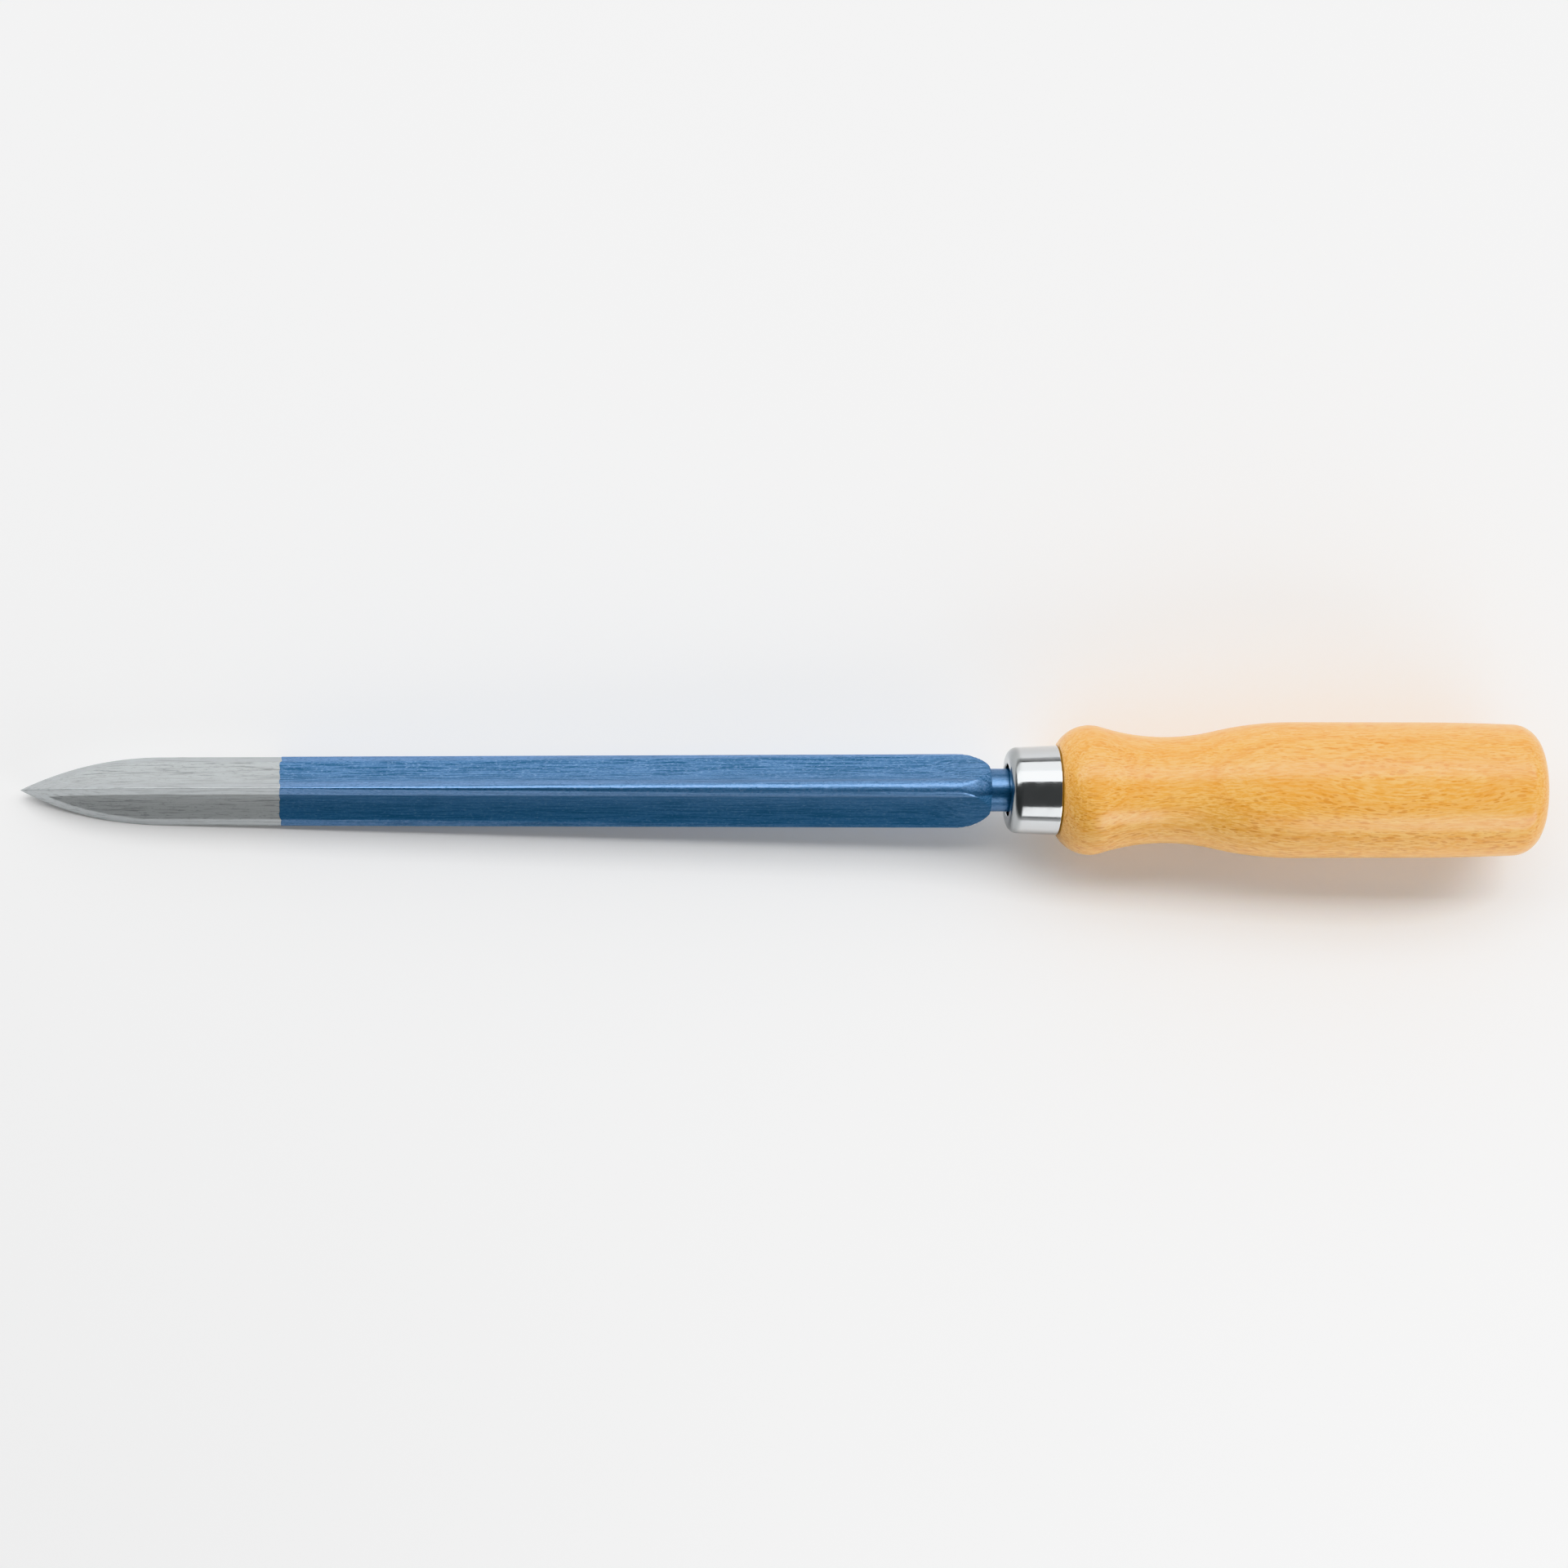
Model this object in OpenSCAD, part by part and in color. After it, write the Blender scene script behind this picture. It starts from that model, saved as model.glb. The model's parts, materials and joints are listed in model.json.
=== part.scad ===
// Triangular scraper: a hollow-faced three-edged blade whose tang is driven into a ferruled wooden handle.
// The tool lies as it rests on a bench: a face of the blade down, an edge up, the handle's bead on the floor.

/* [Blade] */
// Length from the point to the end of the shoulder
blade_len = 200; // [150:1:300]
// Length of the curved part of the point
point_len = 28.5; // [18:0.5:40]
// Length of the bright point, over which the edges are ground sharp
ground_len = 53; // [42:0.5:80]
// Width of a face where the curved point ends
face_w_front = 13.95; // [11:0.05:16]
// Width across the rounded edges at the shoulder
face_w_rear = 15.45; // [14:0.05:20]
// Radius left on the ground edges
edge_r_front = 0.12; // [0.05:0.01:0.4]
// Radius of the edges at the shoulder
edge_r_rear = 2; // [1:0.1:2.5]
// Width of the flat land beside a ground edge
land_w_front = 2.3; // [1.5:0.1:3.2]
// Width of the flat land beside a rounded edge at the shoulder
land_w_rear = 0.3; // [0.1:0.1:1.5]
// Radius of the hollow flute along each face
flute_r = 11.5; // [9:0.5:30]
// Length over which the flutes run out
flute_runout = 10; // [5:0.5:20]
// Distance from the end of the flutes to the end of the shoulder
flute_end = 4; // [2:0.5:10]
// Radius of the rounded shoulder, seen from the side
shoulder_r = 12; // [8:0.5:25]
// Step from the end of the shoulder down to the neck, on the radius
shoulder_step = 0.65; // [0.3:0.05:1]

/* [Neck and tang] */
// Diameter of the round neck
neck_d = 9; // [7:0.1:10]
// Length of neck that shows between the shoulder and the ferrule
neck_gap = 3.8; // [2:0.1:10]
// Length of neck inside the ferrule and the handle
neck_in = 6; // [4:0.5:12]
// Side of the square tang at the neck
tang_root = 6.2; // [4.5:0.1:6.3]
// Side of the square tang at its end
tang_tip = 3.2; // [2:0.1:4]
// Length of the tang
tang_len = 52; // [30:1:65]

/* [Ferrule] */
// Length of the ferrule
ferrule_len = 10.7; // [7:0.1:14]
// Diameter of the ferrule behind its rounded front
ferrule_d_front = 18.1; // [16:0.1:18.6]
// Diameter of the ferrule at its rear
ferrule_d_rear = 18.85; // [18.6:0.05:20]
// Thickness of the drawn wall
ferrule_wall = 0.9; // [0.6:0.05:1.2]
// Radius of the rounded front
ferrule_round = 2.2; // [1.2:0.1:2.6]
// Radius of the rounded rear edge
ferrule_lip = 0.5; // [0.2:0.05:0.6]

/* [Handle] */
// How far the wood stands over the ferrule where they meet, on the radius
bead_step = 0.37; // [0.1:0.01:1]
// Diameter of the bead
bead_d = 27.2; // [25:0.1:30]
// Radius of the bead's rounding
bead_r = 7.8; // [6:0.1:10]
// Distance from the top of the bead to the waist
waist_gap = 16; // [13:0.1:20]
// Diameter of the waist
waist_d = 22.3; // [19:0.1:24]
// Distance from the waist to the straight barrel
barrel_gap = 27.3; // [23:0.1:34]
// Diameter of the barrel
barrel_d = 28.6; // [26:0.1:34]
// Length of the straight barrel
barrel_len = 25.7; // [10:0.1:40]
// Length from the straight barrel to the butt
butt_len = 27.2; // [18:0.1:40]
// How much narrower the barrel gets toward the butt, on the diameter
butt_taper = 1.3; // [0.4:0.1:4]
// Radius of the rounded butt
butt_round = 6; // [3:0.5:9]

/* [Fits] */
// Clearance between the neck and the hole in the ferrule's front, on the radius
hole_clear = 1; // [0.3:0.1:1.5]
// Clearance between the neck and its bore in the handle, on the radius
neck_clear = 0.12; // [0.05:0.01:0.3]
// Clearance between the tang and its socket, on each side
tang_clear = 0.08; // [0.03:0.01:0.2]
// Depth of the socket past the end of the tang
socket_spare = 3; // [1:0.5:8]
// Gap between the ferrule's front wall and the front of the handle's tenon
tenon_gap = 2.5; // [0.5:0.1:4]
// Clearance between the ferrule and the handle's tenon
tenon_clear = 0.05; // [0.02:0.01:0.15]

/* [Fineness] */
// Stations along the curved point
point_steps = 16; // [8:1:24]
// Stations along the straight shank
shank_steps = 9; // [6:1:16]
// Stations along the end of the flutes and the shoulder
shoulder_steps = 16; // [10:1:24]
// Steps round each edge of the blade
edge_steps = 4; // [2:1:6]
// Steps across each flute
flute_steps = 8; // [4:2:12]
// Steps along each turned arc of the handle and ferrule
arc_steps = 14; // [6:1:24]

/* [Hidden] */
$fn = 96;
enamel_blue = [0.24, 0.42, 0.62];
plated_steel = [0.80, 0.81, 0.82];
beech = [0.90, 0.68, 0.40];
// Angle of the blade's top edge about the axis, and the turn from one edge to the next
top_angle = 90;
turn_angle = 120;
// Drop in half width, for each unit of edge radius, from a sharp corner of the triangle to a rounded one
corner_cut = sqrt(3) - 1;
// Smallest half chord of a flute that hasn't started yet, as a share of the flat face
unstarted = 0.12;
// Largest edge radius on the curved point, as a share of half the width
point_edge = 0.1;
// The loft starts this far from the tip of the point, as a share of the first station
tip_share = 0.12;
// Length of neck inside the shoulder, where the two are one forging
neck_root = 1;

// Value between a and b, the share of the way from low to high, and a share eased at both ends
function mix(a, b, k) = a + (b - a) * k;
function share(x, low, high) = max(0, min(1, (x - low) / (high - low)));
function eased(k) = k * k * (3 - 2 * k);

// Places along the tool's axis, from the point
handle_x = blade_len + neck_gap;
neck_end = handle_x + neck_in;
tang_end = neck_end + tang_len;
socket_end = tang_end + socket_spare;
function tang_side(x) = mix(tang_root, tang_tip, (x - neck_end) / tang_len);

// Half width of a face: an arc along the point, then a straight taper to the shoulder
point_half = face_w_front / 2;
point_r = (pow(point_len, 2) + pow(point_half, 2)) / (2 * point_half);
function half_width(x) =
    x < point_len
    ? point_half - point_r + sqrt(pow(point_r, 2) - pow(point_len - x, 2))
    : mix(face_w_front, face_w_rear, share(x, point_len, blade_len)) / 2;
// Slope of a ground edge against the axis
function edge_slope(x) =
    x < point_len ? (point_len - x) / sqrt(pow(point_r, 2) - pow(point_len - x, 2)) : 0;
function edge_r(x) =
    x < ground_len
    ? min(edge_r_front, point_edge * half_width(x))
    : mix(edge_r_front, edge_r_rear, share(x, ground_len, blade_len));
// Side of the triangle before its corners are rounded
function side(x) = 2 * (half_width(x) + corner_cut * edge_r(x));
function inradius(x) = side(x) / (2 * sqrt(3));

// Flute: a hollow of constant radius between the two lands of a face
function land(x) =
    mix(land_w_front, land_w_rear, share(x, ground_len, blade_len)) * sqrt(1 + pow(edge_slope(x), 2));
function flat_half(x) = side(x) / 2 - sqrt(3) * edge_r(x);
function chord_half(x) = max(flat_half(x) - land(x), 0);
function runout(x) = eased(share(x, blade_len - flute_end, blade_len - flute_end - flute_runout));
function flute_rise(q) = sqrt(pow(flute_r, 2) - pow(q, 2));
function flute_depth(x, q) = runout(x) * (flute_rise(q) - flute_rise(max(chord_half(x), abs(q))));

// Shoulder: the section is held inside a circle that shrinks along an arc to just over the neck
shoulder_end_r = neck_d / 2 + shoulder_step;
shoulder_top_r = 2 * inradius(blade_len) - edge_r(blade_len);
shoulder_drop = shoulder_top_r - shoulder_end_r;
shoulder_len = sqrt(pow(shoulder_r, 2) - pow(shoulder_r - shoulder_drop, 2));
shoulder_x = blade_len - shoulder_len;
function shoulder_limit(x) =
    x < shoulder_x
    ? 2 * shoulder_top_r
    : shoulder_top_r - shoulder_r + sqrt(pow(shoulder_r, 2) - pow(x - shoulder_x, 2));

// Section of the blade at x: three edges, each an arc followed by the face up to the next edge
function polar(r, a) = [r * cos(a), r * sin(a)];
function edge_arc(x, a) =
    [for (i = [0 : edge_steps])
        polar(2 * inradius(x) - 2 * edge_r(x), a)
        + polar(edge_r(x), a + turn_angle * (i / edge_steps - 1 / 2))];
function face_hollow(x, a) =
    let (c = max(chord_half(x), unstarted * flat_half(x)))
    [for (i = [0 : flute_steps])
        let (q = c * (2 * i / flute_steps - 1))
        polar(inradius(x) - flute_depth(x, q), a) + polar(q, a + 90)];
function held(p, limit) = p * min(1, limit / norm(p));
function section(x) =
    [for (k = [0 : 2])
        let (a = top_angle + turn_angle * k)
        for (p = concat(edge_arc(x, a), face_hollow(x, a + turn_angle / 2)))
            let (h = held(p, shoulder_limit(x)))
            [x, h[0], h[1]]];

// Stations: along the curved point, the ground length, the shank, then the flutes' end and the shoulder
rear_x = min(blade_len - flute_end - flute_runout, shoulder_x);
stations = concat(
    [tip_share * point_len / point_steps],
    [for (i = [1 : point_steps]) point_len * i / point_steps],
    [ground_len],
    [for (i = [1 : shank_steps]) mix(ground_len, rear_x, i / shank_steps)],
    [for (i = [1 : shoulder_steps]) mix(rear_x, blade_len, sin(90 * i / shoulder_steps))]);

// Triangles of a loft whose rings have n points, closed by a fan at each end
function loft_faces(rings, n) =
    concat(
        [for (i = [0 : n - 1]) [0, 1 + i, 1 + (i + 1) % n]],
        [for (k = [0 : rings - 2])
            for (i = [0 : n - 1])
                let (a = 1 + k * n + i, b = 1 + k * n + (i + 1) % n)
                each [[a, b + n, b], [a, a + n, b + n]]],
        let (last = 1 + (rings - 1) * n)
        [for (i = [0 : n - 1]) [last + i, last + n, last + (i + 1) % n]]);

// Ferrule: its outer and inner radius, the cut in its inner front corner and the hole for the neck
function ferrule_outer(x) = mix(ferrule_d_front, ferrule_d_rear, share(x, ferrule_round, ferrule_len)) / 2;
function ferrule_inner(x) = ferrule_outer(x) - ferrule_wall;
ferrule_cut = ferrule_round / 2;
ferrule_hole_r = neck_d / 2 + hole_clear;

// Handle, from the ferrule's front: bead, waist and barrel are arcs that meet without a corner
bead_c = bead_d / 2 - bead_r;
bead_foot = ferrule_d_rear / 2 + bead_step;
bead_x = ferrule_len + sqrt(pow(bead_r, 2) - pow(bead_foot - bead_c, 2));
waist_x = bead_x + waist_gap;
waist_r = (pow(waist_gap, 2) + pow(waist_d / 2 - bead_c, 2) - pow(bead_r, 2)) / (bead_d - waist_d);
waist_c = waist_d / 2 + waist_r;
barrel_x = waist_x + barrel_gap;
barrel_r = (pow(barrel_gap, 2) + pow(waist_c - barrel_d / 2, 2) - pow(waist_r, 2)) / (barrel_d - waist_d);
barrel_c = barrel_d / 2 - barrel_r;
// End of the barrel: a long arc from the straight part, then the rounding of the butt inside it
taper_x = barrel_x + barrel_len;
handle_len = taper_x + butt_len;
taper_r = (pow(butt_len, 2) + pow(butt_taper / 2, 2)) / butt_taper;
taper_c = barrel_d / 2 - taper_r;
butt_x = handle_len - butt_round;
butt_c = taper_c + sqrt(pow(taper_r - butt_round, 2) - pow(butt_x - taper_x, 2));

// Points of an arc about (c_x, c_r), given by its end angles, as [radius, place along the axis]
function turned_arc(c_x, c_r, r, from, to) =
    [for (i = [0 : arc_steps])
        let (a = mix(from, to, i / arc_steps))
        [c_r + r * sin(a), c_x + r * cos(a)]];
// Angle of one arc's centre seen from another's, which is where the two arcs meet
function toward(from_x, from_r, to_x, to_r) = atan2(to_r - from_r, to_x - from_x);
bead_from = toward(bead_x, bead_c, ferrule_len, bead_foot);
bead_to = toward(bead_x, bead_c, waist_x, waist_c);
waist_to = toward(waist_x, waist_c, barrel_x, barrel_c);
taper_to = toward(taper_x, taper_c, butt_x, butt_c);
tenon_front = ferrule_wall + tenon_gap;
tenon_r = ferrule_inner(tenon_front + ferrule_cut) - tenon_clear;
handle_profile = concat(
    [[0, tenon_front]],
    [[tenon_r - ferrule_cut, tenon_front]],
    [[tenon_r, tenon_front + ferrule_cut]],
    [[ferrule_inner(ferrule_len) - tenon_clear, ferrule_len]],
    turned_arc(bead_x, bead_c, bead_r, bead_from, bead_to),
    turned_arc(waist_x, waist_c, waist_r, bead_to - 180, waist_to),
    turned_arc(barrel_x, barrel_c, barrel_r, waist_to + 180, 90),
    turned_arc(taper_x, taper_c, taper_r, 90, taper_to),
    turned_arc(butt_x, butt_c, butt_round, taper_to, 0),
    [[0, handle_len]]);

// Ferrule profile: a drawn cap, open at the rear, with the neck's hole in its front
ferrule_profile = concat(
    [[ferrule_hole_r, 0]],
    turned_arc(ferrule_round, ferrule_d_front / 2 - ferrule_round, ferrule_round, 180, 90),
    turned_arc(ferrule_len - ferrule_lip, ferrule_d_rear / 2 - ferrule_lip, ferrule_lip, 90, 0),
    [[ferrule_inner(ferrule_len), ferrule_len]],
    [[ferrule_inner(0), ferrule_wall + ferrule_cut]],
    [[ferrule_inner(0) - ferrule_cut, ferrule_wall]],
    [[ferrule_hole_r, ferrule_wall]]);

// Lay of the tool: the floor touches the lower lands near the point and one turned arc of the handle
lay_steps = 12;
lay_first_angle = 2;
function land_touch(a) = point_len - point_r * sin(atan(sqrt(3) * tan(a)));
function lay_on(c_x, c_r, r, a, steps) =
    steps < 1
    ? a
    : let (x = land_touch(a))
      lay_on(c_x, c_r, r, atan2(c_r + r * cos(a) - inradius(x), c_x - r * sin(a) - x), steps - 1);
lay_angle = max(
    lay_on(handle_x + bead_x, bead_c, bead_r, lay_first_angle, lay_steps),
    lay_on(handle_x + barrel_x, barrel_c, barrel_r, lay_first_angle, lay_steps));
touch_x = land_touch(lay_angle);
floor_drop = inradius(touch_x) * cos(lay_angle) - touch_x * sin(lay_angle);
reach = (handle_x + butt_x) * cos(lay_angle) + butt_c * sin(lay_angle) + butt_round;

// Places the tool on the floor, with the middle of its length over the origin
module laid() {
    translate([-reach / 2, 0, floor_drop])
        rotate([0, -lay_angle, 0])
            children();
}

// Turns a profile about the tool's axis, starting at the ferrule's front
module turned(profile) {
    translate([handle_x, 0, 0])
        rotate([0, 90, 0])
            rotate_extrude()
                polygon(profile);
}

// Round bar along the tool's axis
module bar(r, from, to) {
    translate([from, 0, 0])
        rotate([0, 90, 0])
            cylinder(r = r, h = to - from);
}

// Square bar along the tool's axis that narrows as the tang does, with room on each side
module tang_bar(from, to, room) {
    side_from = tang_side(from) + 2 * room;
    side_to = tang_side(to) + 2 * room;
    translate([from, 0, 0])
        rotate([0, 90, 0])
            linear_extrude(height = to - from, scale = side_to / side_from)
                square(side_from, center = true);
}

module blade() {
    ring = len(section(blade_len));
    color(enamel_blue)
        laid() {
            polyhedron(
                points = concat(
                    [[0, 0, 0]],
                    [for (x = stations) each section(x)],
                    [[blade_len, 0, 0]]),
                faces = loft_faces(len(stations), ring));
            bar(neck_d / 2, blade_len - neck_root, neck_end);
            tang_bar(neck_end, tang_end, 0);
        }
}

module ferrule() {
    color(plated_steel)
        laid()
            turned(ferrule_profile);
}

module handle() {
    color(beech)
        laid()
            difference() {
                turned(handle_profile);
                bar(neck_d / 2 + neck_clear, handle_x, neck_end + neck_clear);
                tang_bar(neck_end - tang_clear, socket_end, tang_clear);
            }
}

blade();
ferrule();
handle();
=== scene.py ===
"""Looks of a triangular scraper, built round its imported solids.

The tool has three pieces: a hollow-faced steel blade with a bare ground point and a blue lacquered
shank, a plated ferrule and a turned, lacquered beech handle. Each piece is a surface of rings along the
tool's axis. The tool's sizes are in millimetres in its own frame: x from the point toward the butt, z up
through the top edge. The floor and the lights are in metres in the row's frame.
"""

import json
import logging
import math
from dataclasses import dataclass
from enum import Enum
from typing import Optional, Sequence, Union

import bpy
import numpy as np
from mathutils import Matrix, Vector


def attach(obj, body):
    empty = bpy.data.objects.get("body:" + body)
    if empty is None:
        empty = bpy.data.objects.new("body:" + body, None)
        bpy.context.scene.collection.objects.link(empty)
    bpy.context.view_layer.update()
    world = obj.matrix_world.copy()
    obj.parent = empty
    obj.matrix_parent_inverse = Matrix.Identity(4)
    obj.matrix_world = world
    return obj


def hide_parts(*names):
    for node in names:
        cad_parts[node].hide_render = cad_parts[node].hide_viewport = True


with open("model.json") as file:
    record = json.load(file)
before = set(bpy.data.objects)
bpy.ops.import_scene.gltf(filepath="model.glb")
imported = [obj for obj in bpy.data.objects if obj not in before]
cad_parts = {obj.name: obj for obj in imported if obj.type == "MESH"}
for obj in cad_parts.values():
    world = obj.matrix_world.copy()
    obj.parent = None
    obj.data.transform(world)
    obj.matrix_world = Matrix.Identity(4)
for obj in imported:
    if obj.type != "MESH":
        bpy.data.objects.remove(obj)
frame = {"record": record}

LOG = logging.getLogger("scraper")
MM = 0.001
MM_PER_M = 1000.0
ROOT_BODY = "root"
ROOT_3 = math.sqrt(3.0)
SIXTH_TURN = math.pi / 3.0
QUARTER_TURN = math.pi / 2.0
THIRD_TURN = 2.0 * math.pi / 3.0
SHARP_ANGLE = math.radians(38.0)
SIDES = 3

Array = np.ndarray
Number = Union[float, Array]
Colour = tuple[float, float, float]
Span = tuple[float, float]
Wave = tuple[float, float, float]
Socket = bpy.types.NodeSocket
Value = Union[Socket, float, Sequence[float]]
Inputs = dict[Union[str, int], Optional[Value]]

WHOLE: Span = (0.0, 1.0)


def mix(a: Number, b: Number, k: Number) -> Number:
    """Value between a and b at the share k of the way."""
    return a + (b - a) * k


def share(x: Number, low: float, high: float) -> Number:
    """How far x is from low to high, held between 0 and 1."""
    return np.clip((x - low) / (high - low), 0.0, 1.0)


def eased(k: Number) -> Number:
    """A share that starts and ends without a corner: k squared times (3 minus 2 k)."""
    return k * k * (3.0 - 2.0 * k)


def spread(*knots: tuple[float, int]) -> Array:
    """Places along a line, evenly spaced between knots.

    Args:
        knots: Pairs of a place and the number of steps that lead to it; the first pair's count isn't used.

    Returns:
        The places, in order, with each knot once.
    """
    runs = [
        np.linspace(before[0], after[0], after[1] + 1)[1:]
        for before, after in zip(knots, knots[1:])
    ]
    return np.concatenate([[knots[0][0]], *runs])


class Slot(Enum):
    """Material slots of the record, one for each piece."""

    BLADE = "blade_steel"
    FERRULE = "plated_ferrule"
    HANDLE = "lacquered_beech"


class PointShare(Enum):
    """What the blade's mesh carries at each point, from 0 to 1: how matt, and how much painted shade."""

    HOLLOW = "hollow"
    PAINTED_SHADE = "painted_shade"


@dataclass(frozen=True)
class ToolFrame:
    """The tool's own frame, laid in the row's frame: the axis rises toward the butt by the lay angle."""

    tip: Vector
    angle: float

    @classmethod
    def from_record(cls, record: dict, tool_len: float) -> "ToolFrame":
        """Finds the tool's frame from the butt's mount.

        Args:
            record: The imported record, whose butt_face mount lies on the tool's axis.
            tool_len: Length from the point to the butt, in millimetres.

        Returns:
            The frame, with the tip one tool length before the butt.
        """
        butt = next(m for m in record["mounts"] if m["name"] == "butt_face")
        axis = Vector(butt["axis"]).normalized()
        tip = Vector(butt["pos_m"]) - axis * tool_len * MM
        return cls(tip, math.atan2(axis.z, axis.x))

    @property
    def matrix(self) -> Matrix:
        """Turns and moves a point of the tool's frame, in metres, into the row's frame."""
        return Matrix.Translation(self.tip) @ Matrix.Rotation(-self.angle, 4, "Y")

    def placed(self, points: Array) -> Array:
        """Points of the tool's frame in millimetres, as points of the row's frame in metres."""
        turn = np.array(self.matrix.to_3x3())
        return points * MM @ turn.T + np.array(self.tip)


def ring_faces(rows: int, cols: int, closed: bool) -> Array:
    """Four-sided faces between neighbouring rings, wound so that they face away from the solid.

    Args:
        rows: Number of rings.
        cols: Points in each ring, which closes on itself.
        closed: Whether the last ring joins the first, as on a tube bent into a loop.

    Returns:
        One row of four point numbers for each face.
    """
    first = np.arange(rows if closed else rows - 1)[:, None]
    col = np.arange(cols)[None, :]
    after = (first + 1) % rows
    beside = (col + 1) % cols
    corners = (
        first * cols + col,
        first * cols + beside,
        after * cols + beside,
        after * cols + col,
    )
    return np.stack([np.broadcast_to(c, (len(first), cols)).ravel() for c in corners], axis=1)


def cap_faces(ring_start: int, cols: int, pole: int, forward: bool) -> Array:
    """Triangles from a ring to the point that closes it.

    Args:
        ring_start: Number of the ring's first point.
        cols: Points in the ring.
        pole: Number of the closing point.
        forward: Whether the cap faces along the axis, or against it.

    Returns:
        One row of three point numbers for each face.
    """
    col = np.arange(cols)
    here, beside = ring_start + col, ring_start + (col + 1) % cols
    order = (here, beside) if forward else (beside, here)
    return np.stack([np.full(cols, pole), *order], axis=1)


@dataclass
class RingSurface:
    """A surface of rings along the tool's axis: point (i, j) is the j-th point of the i-th ring.

    Attributes:
        points: Array of rings by points by three, in millimetres in the tool's frame.
        closed: Whether the rings form a closed tube; otherwise both ends are drawn to a pole.
        first_pole: Point that closes the first ring, if the tube isn't closed.
        last_pole: Point that closes the last ring, if the tube isn't closed.
    """

    points: Array
    closed: bool = False
    first_pole: Sequence[float] = (0.0, 0.0, 0.0)
    last_pole: Sequence[float] = (0.0, 0.0, 0.0)

    def mesh(self, name: str, place: ToolFrame) -> bpy.types.Mesh:
        """Makes the mesh, with its place in its points.

        Args:
            name: Name of the mesh.
            place: The tool's frame.

        Returns:
            A smooth-shaded mesh; its points are the rings in order, then the two poles.
        """
        rows, cols, _ = self.points.shape
        flat = self.points.reshape(-1, 3)
        faces = ring_faces(rows, cols, self.closed).tolist()
        if not self.closed:
            flat = np.vstack([flat, [self.first_pole], [self.last_pole]])
            faces += cap_faces(0, cols, rows * cols, False).tolist()
            faces += cap_faces((rows - 1) * cols, cols, rows * cols + 1, True).tolist()
        made = bpy.data.meshes.new(name)
        made.from_pydata(place.placed(flat).tolist(), [], faces)
        made.shade_smooth()
        return made


def full_turn(count: int) -> Array:
    """Evenly spaced angles, once round the axis."""
    return np.linspace(0.0, 2.0 * math.pi, count, endpoint=False)


def rings_about(x: Array, r: Array, angle: Array) -> Array:
    """Rings about the axis: point (i, j) lies at x_i, radius r_ij and angle j; a column r makes circles."""
    return np.stack([x[:, None] + 0.0 * angle, r * np.cos(angle), r * np.sin(angle)], axis=-1)


def turned_rings(profile: Array, segments: int) -> Array:
    """Turns rows of (x, radius) about the axis: ring i has radius r_i at x_i, at evenly spaced angles."""
    return rings_about(profile[:, 0], profile[:, 1:], full_turn(segments))


def square_rings(x: Array, side: Array, angle: Array) -> Array:
    """Rings on a square bar: the radius is half the side over the larger of |cos| and |sin|."""
    reach = np.maximum(np.abs(np.cos(angle)), np.abs(np.sin(angle)))
    return rings_about(x, side[:, None] / 2.0 / reach, angle)


def arc_profile(x: float, r: float, radius: float, start: float, stop: float, steps: int) -> Array:
    """Points (x, radius) of an arc about a centre, from one angle to another, in radians."""
    angle = np.linspace(start, stop, steps + 1)
    return np.stack([x + radius * np.cos(angle), r + radius * np.sin(angle)], axis=1)


def line_profile(x0: float, r0: float, x1: float, r1: float, steps: int) -> Array:
    """Points (x, radius) of a straight stretch, both ends included."""
    k = np.linspace(0.0, 1.0, steps + 1)
    return np.stack([mix(x0, x1, k), mix(r0, r1, k)], axis=1)


def add_piece(name: str, mesh: bpy.types.Mesh, node: str, slot: Slot) -> bpy.types.Object:
    """Puts a mesh into the scene as the piece that stands for a solid.

    Args:
        name: Name of the piece.
        mesh: Its mesh, already in place.
        node: The solid that it stands for.
        slot: The record's material slot for the piece's finish; not used.

    Returns:
        The piece, riding on the tool's one body.
    """
    piece = bpy.data.objects.new(name, mesh)
    bpy.context.scene.collection.objects.link(piece)
    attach(piece, ROOT_BODY)
    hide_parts(node)
    return piece


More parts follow.
